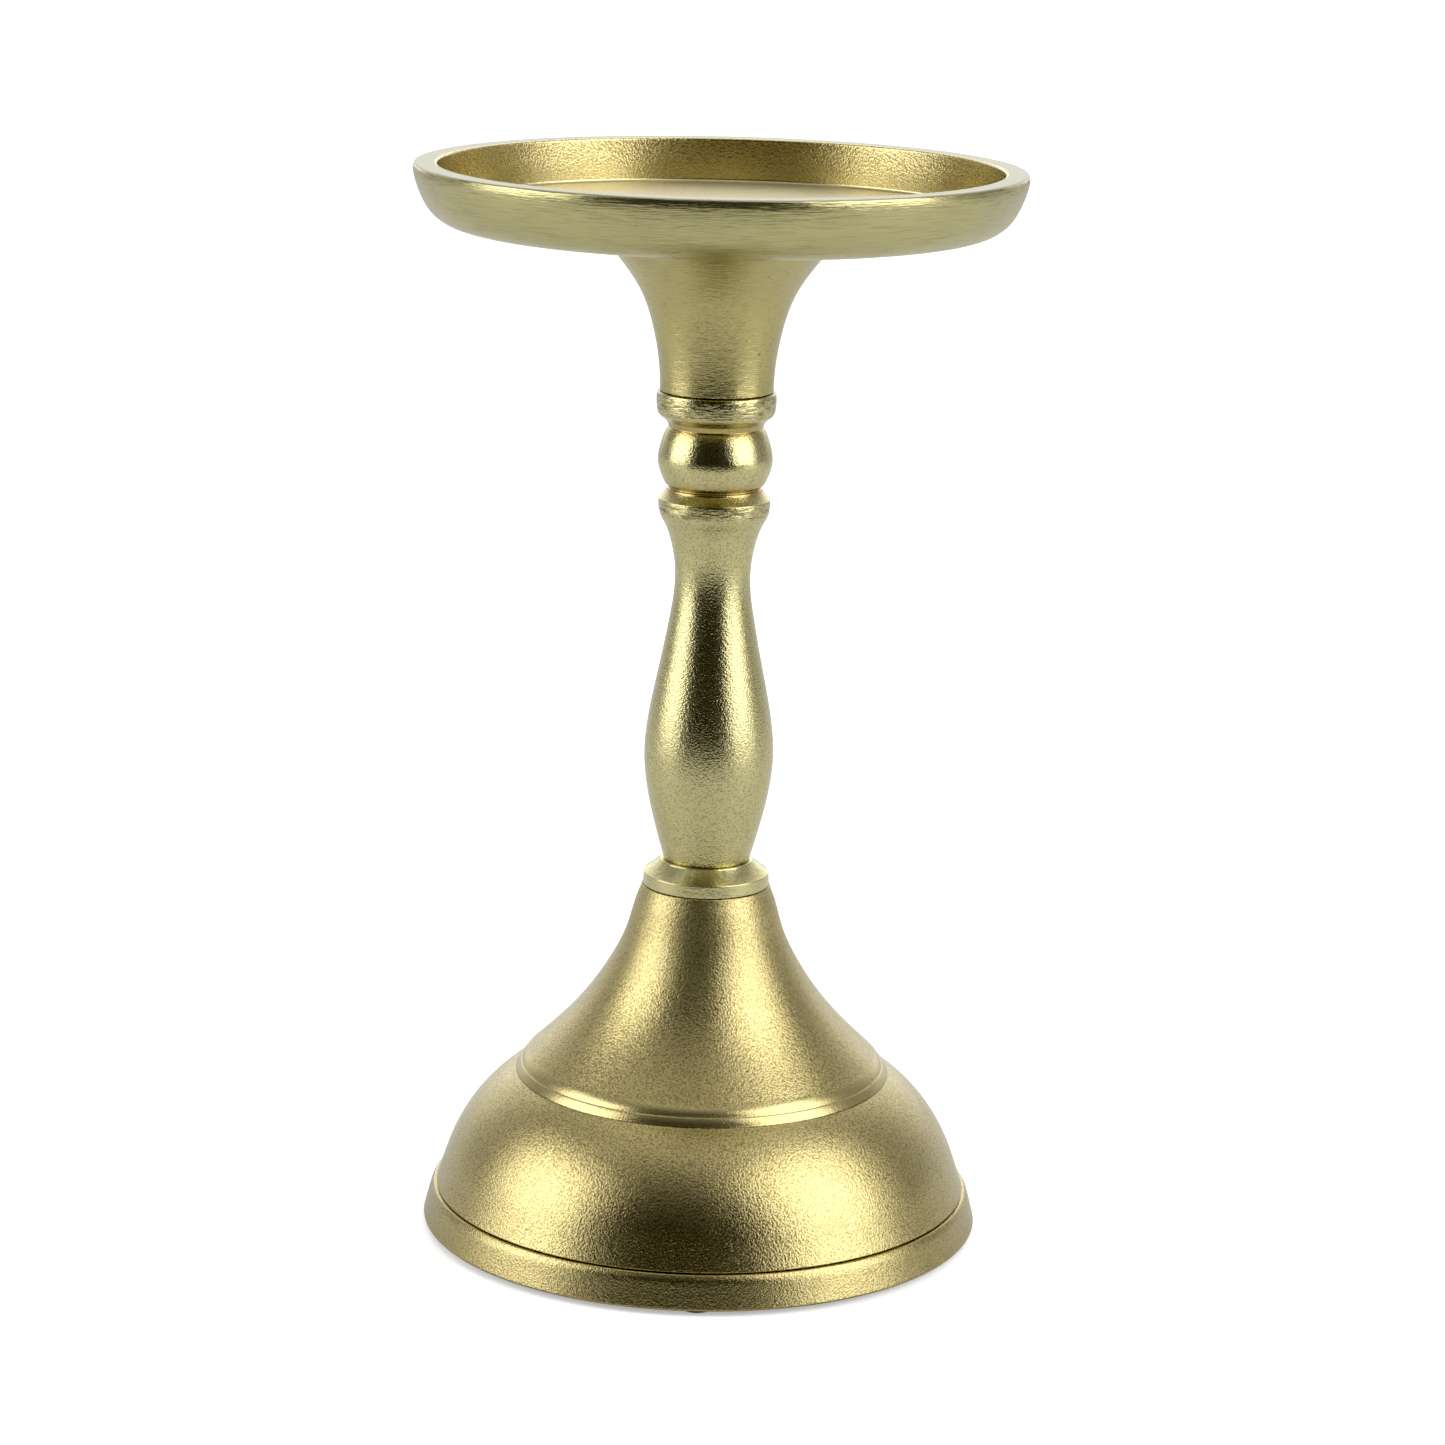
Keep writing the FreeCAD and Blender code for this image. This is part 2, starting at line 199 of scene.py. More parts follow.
def outline(node):
    """A turned node's half section: the (radius, height) points of its seam, in order."""
    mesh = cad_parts[node].data
    places = [(round(v.co.x, 6), round(v.co.z, 6)) for v in mesh.vertices]
    on_seam = [abs(v.co.y) < TINY and v.co.x > -TINY for v in mesh.vertices]
    beside = {}
    for edge in mesh.edges:
        a, b = edge.vertices
        if on_seam[a] and on_seam[b] and places[a] != places[b]:
            beside.setdefault(places[a], set()).add(places[b])
            beside.setdefault(places[b], set()).add(places[a])
    ends = sorted(p for p in beside if len(beside[p]) == 1)
    here = ends[0] if ends else min(beside)
    walk = [here]
    while True:
        onward = sorted(p for p in beside[here] if p not in walk)
        if not onward:
            break
        here = onward[0]
        walk.append(here)
    closed = not ends
    if ends:
        walk = [(0.0, walk[0][1])] + walk + [(0.0, walk[-1][1])]
    if area(walk) < 0:
        walk.reverse()
    return np.array(walk), closed


def area(points):
    """Twice the area inside the points: positive when they run anticlockwise."""
    p = np.array(points)
    q = np.roll(p, -1, axis=0)
    return float(np.sum(p[:, 0] * q[:, 1] - q[:, 0] * p[:, 1]))


def turns(points, closed):
    """The angle in degrees by which the outline turns at each point; ends count as sharp."""
    before = points - np.roll(points, 1, axis=0)
    after = np.roll(points, -1, axis=0) - points
    cross = before[:, 0] * after[:, 1] - before[:, 1] * after[:, 0]
    dot = np.sum(before * after, axis=1)
    angle = np.abs(np.degrees(np.arctan2(cross, dot)))
    if not closed:
        angle[[0, -1]] = 180.0
    return angle


def straight_run(a, b, step):
    """Points about a step apart on the line from a to b."""
    count = max(1, round(math.dist(a, b) / step))
    return a + (b - a) * np.linspace(0, 1, count + 1)[:, None]


def smooth_run(points, step):
    """Points a step apart along a curve that passes smoothly through the given ones."""
    if len(points) == 2:
        return straight_run(*points, step)
    first = 2 * points[0] - points[1]
    last = 2 * points[-1] - points[-2]
    p = np.vstack([first, points, last])
    made = [points[:1]]
    for k in range(1, len(p) - 2):
        a, b = p[k], p[k + 1]
        span = np.linalg.norm(b - a)
        at_a = (b - p[k - 1]) / np.linalg.norm(b - p[k - 1]) * span
        at_b = (p[k + 2] - a) / np.linalg.norm(p[k + 2] - a) * span
        count = max(1, round(span / step))
        t = (np.arange(count) + 1)[:, None] / count
        made.append(
            (2 * t**3 - 3 * t**2 + 1) * a
            + (t**3 - 2 * t**2 + t) * at_a
            + (3 * t**2 - 2 * t**3) * b
            + (t**3 - t**2) * at_b
        )
    return np.vstack(made)


def eased(a, corner, b):
    """Three points that round a corner off between its two neighbours."""
    reach_a = min(CORNER_ROUND, CORNER_SHARE * math.dist(a, corner))
    reach_b = min(CORNER_ROUND, CORNER_SHARE * math.dist(b, corner))
    start = corner + (a - corner) / math.dist(a, corner) * reach_a
    end = corner + (b - corner) / math.dist(b, corner) * reach_b
    middle = (start + end) / 4 + corner / 2
    return [start, middle, end]


def refined(node, is_fine):
    """The node's outline with smooth curves resampled and its corners eased."""
    points, closed = outline(node)
    corners = [k for k, turn in enumerate(turns(points, closed)) if turn > CORNER_TURN]
    if closed:
        points = np.roll(points, -corners[0], axis=0)
        points = np.vstack([points, points[:1]])
        corners = [k - corners[0] for k in corners] + [len(points) - 1]
    runs = []
    for a, b in zip(corners, corners[1:]):
        run = points[a:b + 1]
        step = FINE_STEP if is_fine(*run.mean(axis=0)) else COARSE_STEP
        runs.append(smooth_run(run, step))
    made = []
    for k, run in enumerate(runs):
        inner = list(run[1:-1])
        if k == 0 and not closed:
            made.append(run[0])
        made += inner
        if k == len(runs) - 1 and not closed:
            made.append(run[-1])
        else:
            following = runs[(k + 1) % len(runs)]
            made += eased(run[-2], run[-1], following[1])
    return np.array(made), closed


def above(height):
    """A test for refined: runs of the outline above this height are fine."""
    return lambda r, z: z > height


def beyond(radius):
    """A test for refined: runs of the outline outside this radius are fine."""
    return lambda r, z: r > radius


# ---- spun meshes --------------------------------------------------------------------------

def band_faces(low, high, sides):
    """Faces between two rings of vertices, of which one may be a single vertex."""
    faces = []
    for k in range(sides):
        n = (k + 1) % sides
        if len(low) == 1:
            faces.append((low[0], high[n], high[k]))
        elif len(high) == 1:
            faces.append((low[k], low[n], high[0]))
        else:
            faces.append((low[k], low[n], high[n], high[k]))
    return faces


def spin(name, points, closed, sides):
    """A closed solid from an outline. Points on the axis become single vertices."""
    angles = 2 * math.pi * np.arange(sides) / sides
    circle = np.column_stack([np.cos(angles), np.sin(angles)])
    vertices = []
    rings = []
    for r, z in points:
        count = 1 if r < TINY else sides
        rings.append(list(range(len(vertices), len(vertices) + count)))
        if count == 1:
            vertices.append((0.0, 0.0, z))
        else:
            vertices += [(r * c, r * s, z) for c, s in circle]
    pairs = list(zip(rings, rings[1:]))
    if closed:
        pairs.append((rings[-1], rings[0]))
    faces = []
    for low, high in pairs:
        faces += band_faces(low, high, sides)
    mesh = bpy.data.meshes.new(name)
    mesh.from_pydata(vertices, [], faces)
    mesh.update()
    mesh.shade_smooth()
    return mesh


def uneven(mesh, depth, length, seed):
    """Push the surface in by up to depth, in waves of this length, as a casting has them."""
    count = len(mesh.vertices)
    co = np.zeros(count * 3)
    normal = np.zeros(count * 3)
    mesh.vertices.foreach_get("co", co)
    mesh.vertex_normals.foreach_get("vector", normal)
    co = co.reshape(-1, 3)
    normal = normal.reshape(-1, 3)
    waves = np.array([noise.noise((p / length + seed).tolist()) for p in co])
    co -= normal * (depth * (0.5 + 0.5 * waves))[:, None]
    mesh.vertices.foreach_set("co", co.ravel())
    mesh.update()


def link(name, mesh, material):
    piece = bpy.data.objects.new(name, mesh)
    bpy.context.scene.collection.objects.link(piece)
    mesh.materials.append(material)
    return piece


def stand_for(piece, node):
    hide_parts(node)
    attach(piece, "root")


def turned_piece(node, name, material, *, sides, is_fine, depth, length, seed):
    """A gold piece in place of its node. Depth, length and seed are for its unevenness."""
    points, closed = refined(node, is_fine)
    mesh = spin(name, points, closed, sides)
    uneven(mesh, depth, length, seed)
    stand_for(link(name, mesh, material), node)


# ---- node trees ---------------------------------------------------------------------------

class Nodes:
    """Short calls that add linked nodes to a tree."""

    def __init__(self, tree):
        self.tree = tree

    def node(self, kind, inputs=None, **settings):
        made = self.tree.nodes.new("ShaderNode" + kind)
        for key, value in settings.items():
            setattr(made, key, value)
        for key, value in (inputs or {}).items():
            if isinstance(value, bpy.types.NodeSocket):
                self.tree.links.new(value, made.inputs[key])
            else:
                made.inputs[key].default_value = value
        return made

    def math(self, operation, a, b=0.0):
        return self.node("Math", {0: a, 1: b}, operation=operation).outputs[0]

    def times(self, a, b):
        return self.math("MULTIPLY", a, b)

    def flipped(self, mask):
        return self.math("SUBTRACT", 1.0, mask)

    def ramp(self, value, start, end, at_start, at_end):
        """From at_start where the value is start to at_end where it is end, smooth between."""
        inputs = {0: value, 1: start, 2: end, 3: at_start, 4: at_end}
        return self.node("MapRange", inputs, interpolation_type="SMOOTHSTEP").outputs[0]

    def mask(self, value, zero, one):
        """0 where the value is zero and 1 where it is one, or beyond them."""
        return self.ramp(value, zero, one, 0.0, 1.0)

    def between(self, value, low, high, blur):
        """1 between low and high, 0 outside, blurred at both."""
        over = self.mask(value, low - blur, low + blur)
        under = self.mask(value, high + blur, high - blur)
        return self.times(over, under)

    def mix_number(self, share, a, b):
        return self.node("Mix", {0: share, 2: a, 3: b}, data_type="FLOAT").outputs[0]

    def mix_colour(self, share, a, b):
        return self.node("Mix", {0: share, 6: a, 7: b}, data_type="RGBA").outputs[2]


class Finish(Nodes):
    """A Principled material, with textures laid out round the axis."""

    def __init__(self, name, constants):
        self.material = bpy.data.materials.new(name)
        self.material.use_nodes = True
        super().__init__(self.material.node_tree)
        self.shader = self.tree.nodes["Principled BSDF"]
        for socket, value in constants.items():
            self.shader.inputs[socket].default_value = value
        self.place = self.node("TexCoord").outputs["Object"]
        self.radius, self.height, self.around = self.cylinder()
        self.normal = None

    def cylinder(self):
        """Radius, height and the (x, y) direction of the shaded point."""
        split = self.node("SeparateXYZ", {0: self.place})
        flat = self.node("CombineXYZ", {0: split.outputs[0], 1: split.outputs[1]}).outputs[0]
        radius = self.node("VectorMath", {0: flat}, operation="LENGTH").outputs[1]
        around = self.node("VectorMath", {0: flat}, operation="NORMALIZE").outputs[0]
        return radius, split.outputs[2], around

    def noise(self, vector, scale, detail=0.0, roughness=0.5):
        inputs = {"Vector": vector, "Scale": scale, "Detail": detail, "Roughness": roughness}
        return self.node("TexNoise", inputs).outputs[0]

    def grains(self, size, detail=1.5, flat=1.0):
        """Rounded grains of this size; flat above 1 squashes them in height."""
        squash = self.node("Mapping", {"Vector": self.place, "Scale": (1.0, 1.0, flat)})
        return self.noise(squash.outputs[0], 1.0 / size, detail, roughness=0.6)

    def streaks(self, count, width, detail=1.0):
        """Marks of a lathe, of this width and the shorter the larger the count."""
        along = self.node("VectorMath", {0: self.around, 1: (count,) * 3}, operation="MULTIPLY")
        split = self.node("SeparateXYZ", {0: along.outputs[0]})
        sideways = self.math("DIVIDE", self.math("ADD", self.radius, self.height), width)
        place = {0: split.outputs[0], 1: split.outputs[1], 2: sideways}
        return self.noise(self.node("CombineXYZ", place).outputs[0], 1.0, detail)

    def stain(self, colour, tint, where, strength):
        """Lay this much of a tint over a colour where the mask says."""
        return self.mix_colour(self.times(where, strength), colour, tint)

    def rough_up(self, relief, depth, share=1.0):
        """Add a relief of this depth to the surface, as much of it as share says."""
        inputs = {"Height": relief, "Distance": depth, "Strength": share}
        if self.normal is not None:
            inputs["Normal"] = self.normal
        self.normal = self.node("Bump", inputs).outputs[0]
        self.feed("Normal", self.normal)

    def feed(self, socket, value):
        self.tree.links.new(value, self.shader.inputs[socket])


# ---- gold finishes ------------------------------------------------------------------------

def painted_seam_shade(coat, colour, shaded_seams):
    """Painted shade: dark brown with a ragged edge at each (height, reach), where shade falls
    in the seams and creases.
    """
    ragged = coat.streaks(count=60.0, width=0.6 * MM, detail=2.0)
    for height, reach in shaded_seams:
        away = coat.math("ABSOLUTE", coat.math("SUBTRACT", coat.height, height))
        away = coat.math("ADD", away, coat.times(ragged, reach))
        shade_here = coat.mask(away, zero=1.2 * reach, one=0.6 * reach)
        colour = coat.stain(colour, SHADE_AND_MARK_BROWN, shade_here, strength=0.85)
    return colour


def wear_and_seam_shade(coat, colour, tint, shaded_seams=(), nicked=0.7):
    """Dull patches and a few dark nicks over a gold colour, with painted shade at the seams."""
    patches = coat.noise(coat.place, scale=1.0 / (9.0 * MM), detail=3.0, roughness=0.65)
    colour = coat.stain(colour, shade(tint, 0.62), patches, strength=0.35)
    specks = coat.mask(coat.grains(0.7 * MM, detail=1.0), zero=0.70, one=0.76)
    nicks = coat.times(specks, coat.mask(patches, zero=0.50, one=0.60))
    colour = coat.stain(colour, SHADE_AND_MARK_BROWN, nicks, strength=nicked)
    coat.feed("Base Color", painted_seam_shade(coat, colour, shaded_seams))
    return patches


def cast_gold(name, tint, *, rough, grain, depth, shaded_seams=()):
    """Sand-cast surface under a metallic finish: an orange-peel grain with dark valleys.
    The step of the bell is rubbed smoother, and its skirt is less polished."""
    coat = Finish(name, {"Metallic": 1.0})
    peel = coat.grains(grain, detail=2.0)
    on_step = coat.between(coat.height, STEP_Z, STEP_Z + STEP_H, blur=0.3 * MM)
    left = coat.mix_number(on_step, 1.0, 0.35)
    coat.rough_up(peel, depth, left)
    valleys = coat.times(coat.mask(peel, zero=0.53, one=0.38), left)
    colour = coat.stain(shade(tint, 1.08), OLIVE, valleys, strength=0.65)
    patches = wear_and_seam_shade(coat, colour, tint, shaded_seams)
    dull = coat.ramp(coat.height, SKIRT_DULL_Z, SKIRT_DULL_Z + 18 * MM, 0.0, 0.13)
    polish = coat.mix_number(patches, rough - 0.04, rough + 0.04)
    coat.feed("Roughness", coat.math("ADD", polish, dull))
    return coat.material


def stem_gold(shaded_seams):
    """Polished casting: fine grain, and two upright bands scored by the turning tool."""
    coat = Finish("stem_gold", {"Metallic": 1.0})
    peel = coat.grains(0.36 * MM, detail=1.5, flat=1.2)
    over_waist = coat.mask(coat.height, zero=WAIST_Z, one=WAIST_Z + 2 * MM)
    coat.rough_up(peel, 0.10 * MM, coat.mix_number(over_waist, 0.85, 0.5))
    scores = coat.streaks(count=5.0, width=0.36 * MM, detail=2.0)
    in_ring = coat.between(coat.height, *RING_BAND, blur=0.25 * MM)
    in_drum = coat.between(coat.height, *DRUM_BAND, blur=0.25 * MM)
    in_bands = coat.math("MAXIMUM", in_ring, in_drum)
    coat.rough_up(scores, 0.18 * MM, in_bands)
    valleys = coat.mask(peel, zero=0.52, one=0.38)
    colour = coat.stain(PALE_GOLD, OLIVE, valleys, strength=0.5)
    marks = coat.times(coat.mask(scores, zero=0.52, one=0.36), in_bands)
    colour = coat.stain(colour, SHADE_AND_MARK_BROWN, marks, strength=0.65)
    # painted shade in the grooves beside the ball
    colour = coat.stain(colour, GROOVE_SHADE_AMBER, shaded_grooves_of_stem(coat), strength=0.6)
    patches = wear_and_seam_shade(coat, colour, PALE_GOLD, shaded_seams)
    coat.feed("Roughness", coat.mix_number(patches, 0.16, 0.24))
    return coat.material


def shaded_grooves_of_stem(coat):
    """Where shade is painted: 1 at the bottom of the grooves beside the ball, and 0 outside
    them.
    """
    drum_top = DRUM_BAND[1]
    deep = coat.mask(coat.radius, zero=GROOVE_R + 1.5 * MM, one=GROOVE_R + 0.3 * MM)
    over_drum = coat.mask(coat.height, zero=drum_top - 0.5 * MM, one=drum_top)
    return coat.times(deep, over_drum)


def turned_gold(name, tint, *, rough, depth, count, shaded_seams):
    """Lathe-turned surface: fine arcs round the axis, some deeper than others."""
    coat = Finish(name, {"Metallic": 1.0})
    fine = coat.streaks(count, width=0.16 * MM)
    broad = coat.streaks(count * 0.5, width=0.8 * MM)
    coat.rough_up(coat.math("ADD", fine, broad), depth)
    coat.rough_up(coat.grains(0.4 * MM), 0.03 * MM)
    valleys = coat.mask(fine, zero=0.5, one=0.3)
    colour = coat.stain(tint, OLIVE, valleys, strength=0.35)
    patches = wear_and_seam_shade(coat, colour, tint, shaded_seams)
    coat.feed("Roughness", coat.mix_number(patches, rough - 0.03, rough + 0.05))
    return coat.material


def dish_zones(coat):
    """Masks of the dish's zones, each 1 on its zone and 0 elsewhere."""
    within = coat.mask(coat.radius, zero=DISH_INNER_R + 0.5 * MM, one=DISH_INNER_R + 0.2 * MM)
    over = coat.mask(coat.height, zero=DISH_FLOOR_Z - 1.0 * MM, one=DISH_FLOOR_Z - 0.9 * MM)
    inside = coat.times(within, over)
    raised = coat.mask(coat.height, zero=DISH_FLOOR_Z + 0.15 * MM, one=DISH_FLOOR_Z + 0.35 * MM)
    on_top = coat.mask(coat.height, zero=RIM_Z - 0.22 * MM, one=RIM_Z - 0.1 * MM)
    rim = coat.times(on_top, coat.flipped(inside))
    outside = coat.math("SUBTRACT", coat.flipped(inside), rim)
    high = coat.mask(coat.height, zero=RIM_Z - 2.6 * MM, one=RIM_Z - 0.9 * MM)
    return {
        "rim": rim,
        "wall": coat.times(inside, raised),
        "floor": coat.times(inside, coat.flipped(raised)),
        "outside": outside,
        "brow": coat.times(outside, high),
    }


def dish_gold():
    """Turned outside, a satin rim coloured with a painted sheen, a sand-cast inner wall and a
    matt floor.
    """
    coat = Finish("dish_gold", {"Metallic": 1.0})
    zones = dish_zones(coat)
    scores = coat.streaks(count=9.0, width=0.22 * MM, detail=2.0)
    coat.rough_up(scores, 0.06 * MM, zones["outside"])
    ripples = coat.streaks(count=14.0, width=0.34 * MM, detail=2.0)
    coat.rough_up(ripples, 0.12 * MM, zones["brow"])
    sand = coat.grains(0.42 * MM, detail=2.0)
    coarse = coat.mask(coat.height, zero=DISH_FLOOR_Z + 1.0 * MM, one=RIM_Z - 2.0 * MM)
    sandy = coat.times(zones["wall"], coat.mix_number(coarse, 0.45, 1.0))
    coat.rough_up(sand, 0.08 * MM, sandy)
    satin = coat.math("MAXIMUM", zones["rim"], zones["floor"])
    coat.rough_up(coat.grains(0.35 * MM, detail=1.0), 0.05 * MM, satin)
    colour = dish_colour(coat, zones, scores, sand, coarse)
    patches = wear_and_seam_shade(coat, colour, DISH_GOLD, nicked=0.25)
    rough = coat.mix_number(patches, 0.22, 0.30)
    for zone, roughness in (("rim", 0.42), ("wall", 0.22), ("floor", 0.50)):
        rough = coat.mix_number(zones[zone], rough, roughness)
    coat.feed("Roughness", rough)
    return coat.material


def dish_colour(coat, zones, scores, sand, coarse):
    """Gold, darker in the scores and between the grains of sand, with a painted reflection of
    the dark front in the scores under the rim and a painted sheen of silver grey on the rim;
    the floor is beige.
    """
    dark_scores = coat.times(coat.mask(scores, zero=0.50, one=0.30), zones["outside"])
    # painted reflection: the scores are darker under the rim, standing in for the dark front of
    # the room reflected there
    painted_reflection_at_brow = coat.mix_number(zones["brow"], 0.4, 0.75)
    colour = coat.stain(DISH_GOLD, OLIVE, dark_scores, strength=painted_reflection_at_brow)
    # painted sheen: the rim gets silver grey in place of the whitening of its grazing
    # reflection
    colour = coat.mix_colour(zones["rim"], colour, RIM_PAINTED_SHEEN)
    colour = coat.mix_colour(zones["wall"], colour, DEEP_GOLD)
    dark_sand = coat.times(coat.mask(sand, zero=0.52, one=0.38), zones["wall"])
    deeper_if_coarse = coat.mix_number(coarse, 0.2, 0.55)
    colour = coat.stain(colour, OLIVE, dark_sand, strength=deeper_if_coarse)
    dull_sand = coat.mask(sand, zero=0.56, one=0.36)
    beige = coat.stain(SATIN_BEIGE, shade(SATIN_BEIGE, 0.55), dull_sand, strength=0.45)
    return coat.mix_colour(zones["floor"], colour, beige)


# ---- other finishes -----------------------------------------------------------------------

def zinc():
    coat = Finish("zinc", {"Metallic": 1.0})
    spangle = coat.noise(coat.place, scale=1.0 / (1.2 * MM), detail=2.0)
    coat.feed("Base Color", coat.mix_colour(spangle, ZINC_DARK, ZINC_PALE))
    coat.feed("Roughness", coat.mix_number(spangle, 0.28, 0.46))
    coat.rough_up(coat.grains(0.2 * MM, detail=1.0), 0.01 * MM)
    return coat.material


def felt():
    coat = Finish("felt", {"Sheen Weight": 0.6, "Sheen Roughness": 0.6})
    fibres = coat.grains(0.15 * MM, detail=3.0)
    coat.feed("Base Color", coat.mix_colour(fibres, FELT_DARK, FELT_PALE))
    coat.feed("Roughness", coat.mix_number(fibres, 0.85, 1.0))
    coat.rough_up(fibres, 0.08 * MM)
    return coat.material


def table_white():
    """Pale table: mid grey in reflections, white to the eye, and open from underneath."""
    constants = {"Roughness": 0.6, "Specular IOR Level": 0.2, "Emission Color": grey(1.0)}
    coat = Finish("table_white", constants)
    seen = coat.node("LightPath").outputs["Is Camera Ray"]
    cloud = coat.noise(coat.place, scale=1.5, detail=2.0)
    pale = coat.mix_colour(cloud, TABLE_DULL, TABLE_PALE)
    coat.feed("Base Color", coat.mix_colour(seen, TABLE_REFLECTED, pale))
    coat.feed("Emission Strength", coat.times(seen, TABLE_LIFT))
    below = coat.node("NewGeometry").outputs["Backfacing"]
    clear = coat.node("BsdfTransparent").outputs[0]
    mixed = coat.node("MixShader", {0: below, 1: coat.shader.outputs[0], 2: clear})
    output = coat.tree.nodes["Material Output"]
    coat.tree.links.new(mixed.outputs[0], output.inputs["Surface"])
    return coat.material


# ---- pieces -------------------------------------------------------------------------------

def make_dish():
    turned_piece(
        "candle_dish", "dish", dish_gold(), sides=256,
        is_fine=above(DISH_FINE_Z), depth=0.03 * MM, length=14 * MM, seed=3.0,
    )


def make_neck():
    # painted shade where the neck meets the stem
    shaded_seams = [(STEM_TOP_Z, 0.3 * MM)]
    material = turned_gold(
        "neck_gold", NECK_GOLD, rough=0.24, depth=0.05 * MM, count=8.0, shaded_seams=shaded_seams
    )
    turned_piece(
        "flared_neck", "neck", material, sides=192,
        is_fine=beyond(NECK_FINE_R), depth=0.02 * MM, length=8 * MM, seed=7.0,
    )


def make_stem():
    # painted shade at the top of the stem, where it meets the neck
    material = stem_gold(shaded_seams=[(STEM_TOP_Z, 0.3 * MM)])
    turned_piece(
        "baluster_stem", "stem", material, sides=176,
        is_fine=beyond(STEM_FINE_R), depth=0.02 * MM, length=6 * MM, seed=11.0,
    )


def make_collar():
    # painted shade where the collar meets the bell
    shaded_seams = [(BELL_TOP_Z, 0.3 * MM)]
    material = turned_gold(
        "collar_gold", PALE_GOLD, rough=0.2, depth=0.02 * MM, count=10.0, shaded_seams=shaded_seams
    )
    turned_piece(
        "stem_collar", "collar", material, sides=192,
        is_fine=beyond(COLLAR_FINE_R), depth=0.01 * MM, length=6 * MM, seed=13.0,
    )


def make_bell():
    # painted shade at the seam over the foot, in the crease at the foot of the step and under
    # the collar
    shaded_seams = [(FOOT_SEAM_Z, 0.1 * MM), (STEP_Z, 0.14 * MM), (BELL_TOP_Z, 0.15 * MM)]
    material = cast_gold(
        "bell_gold", WARM_GOLD, rough=0.22, grain=0.36 * MM, depth=0.08 * MM, shaded_seams=shaded_seams
    )
    turned_piece(
        "base_bell", "bell", material, sides=240,
        is_fine=beyond(0.0), depth=0.05 * MM, length=9 * MM, seed=17.0,
    )


def make_foot():
    material = cast_gold(
        "foot_gold", shade(WARM_GOLD, 0.94), rough=0.23, grain=0.34 * MM, depth=0.07 * MM
    )
    turned_piece(
        "foot_ring", "foot", material, sides=256,
        is_fine=beyond(FOOT_FINE_R), depth=0.03 * MM, length=9 * MM, seed=19.0,
    )


def make_threaded_rod(material):
    """The tie rod with its thread: a helical groove, run out at both ends."""
    low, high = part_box("tie_rod")
    count = round((high.z - low.z) / THREAD_PITCH * THREAD_STEPS)
    points = [(0.0, low.z)]
    points += [(high.x, z) for z in np.linspace(low.z, high.z, count + 1)]
    points += [(0.0, high.z)]
    mesh = spin("threaded_rod", np.array(points), False, THREAD_SIDES)
    for vertex in mesh.vertices:
        x, y, z = vertex.co
        if math.hypot(x, y) > 0:
            phase = (z / THREAD_PITCH - math.atan2(y, x) / (2 * math.pi)) % 1.0
            run_out = 1 - min(z - low.z, high.z - z) / THREAD_DEPTH
            share = 1 - THREAD_DEPTH / high.x * max(abs(2 * phase - 1), run_out)
            vertex.co = (x * share, y * share, z)
    mesh.update()
    stand_for(link("threaded_rod", mesh, material), "tie_rod")


def make_fasteners():
    metal = zinc()
    make_threaded_rod(metal)
    for node in ("flat_washer", "spring_washer", "hex_nut"):
        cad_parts[node].data.materials[0] = metal


def pad_outline(radius, low, high):
    """Half section of a pad with a rounded lower edge, in short steps."""
    corners = [(0.0, low), (radius - PAD_EDGE, low)]
    for k in range(1, PAD_EDGE_STEPS):
        lean = math.pi / 2 * k / PAD_EDGE_STEPS
        r = radius - PAD_EDGE + PAD_EDGE * math.sin(lean)
        z = low + PAD_EDGE * (1 - math.cos(lean))
        corners.append((r, z))
    corners += [(radius, low + PAD_EDGE), (radius, high), (0.0, high)]
    corners = np.array(corners)
    points = [corners[:1]]
    for a, b in zip(corners, corners[1:]):
        points.append(straight_run(a, b, PAD_STEP)[1:])
    return np.vstack(points)


def make_felt_pads():
    """Punched felt discs with a soft rounded edge and a fuzzy surface."""
    material = felt()
    for number in range(1, PAD_COUNT + 1):
        node = f"felt_pad_{number}"
        low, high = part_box(node)
        centre = (low + high) / 2
        points = pad_outline((high.x - low.x) / 2, low.z, high.z)
        mesh = spin(f"pad_{number}", points, False, PAD_SIDES)
        uneven(mesh, PAD_FUZZ_DEPTH, PAD_FUZZ_LENGTH, PAD_SEED + number)
        mesh.transform(Matrix.Translation((centre.x, centre.y, 0.0)))
        stand_for(link(f"pad_{number}", mesh, material), node)


# ---- studio -------------------------------------------------------------------------------

def make_camera():
    data = bpy.data.cameras.new("camera")
    data.lens = CAMERA_LENS
    data.sensor_width = CAMERA_SENSOR
    data.clip_start = CAMERA_NEAR
    data.clip_end = CAMERA_FAR
    camera = bpy.data.objects.new("camera", data)
    turn = (
        Matrix.Rotation(math.radians(-CAMERA_YAW), 4, "Z")
        @ Matrix.Rotation(math.radians(90.0 - CAMERA_DOWN), 4, "X")
        @ Matrix.Rotation(math.radians(CAMERA_ROLL), 4, "Z")
    )
    camera.matrix_world = Matrix.Translation((0.0, -CAMERA_BACK, CAMERA_HEIGHT)) @ turn
    bpy.context.scene.collection.objects.link(camera)
    bpy.context.scene.camera = camera


def arc(radius, start, sweep, count):
    """This many points on a circle on the table, evenly from start over the sweep."""
    angles = [start + sweep * k / (count - 1) for k in range(count)]
    return [(radius * math.cos(a), radius * math.sin(a), 0.0) for a in angles]


def make_table():
    """A round table top, cut off straight in front of the object, with a hidden hole."""
    count = TABLE_SIDES + 1
    cut = math.asin(TABLE_FRONT / TABLE_R)
    gap = 2 * math.pi / count
    outer = arc(TABLE_R, -cut, math.pi + 2 * cut, count)
    inner = arc(TABLE_HOLE_R, gap / 2 - math.pi / 2, 2 * math.pi - gap, count)
    faces = band_faces(range(count), range(count, 2 * count), count)
    mesh = bpy.data.meshes.new("table")
    mesh.from_pydata(outer + inner, [], faces)
    table = link("table", mesh, table_white())


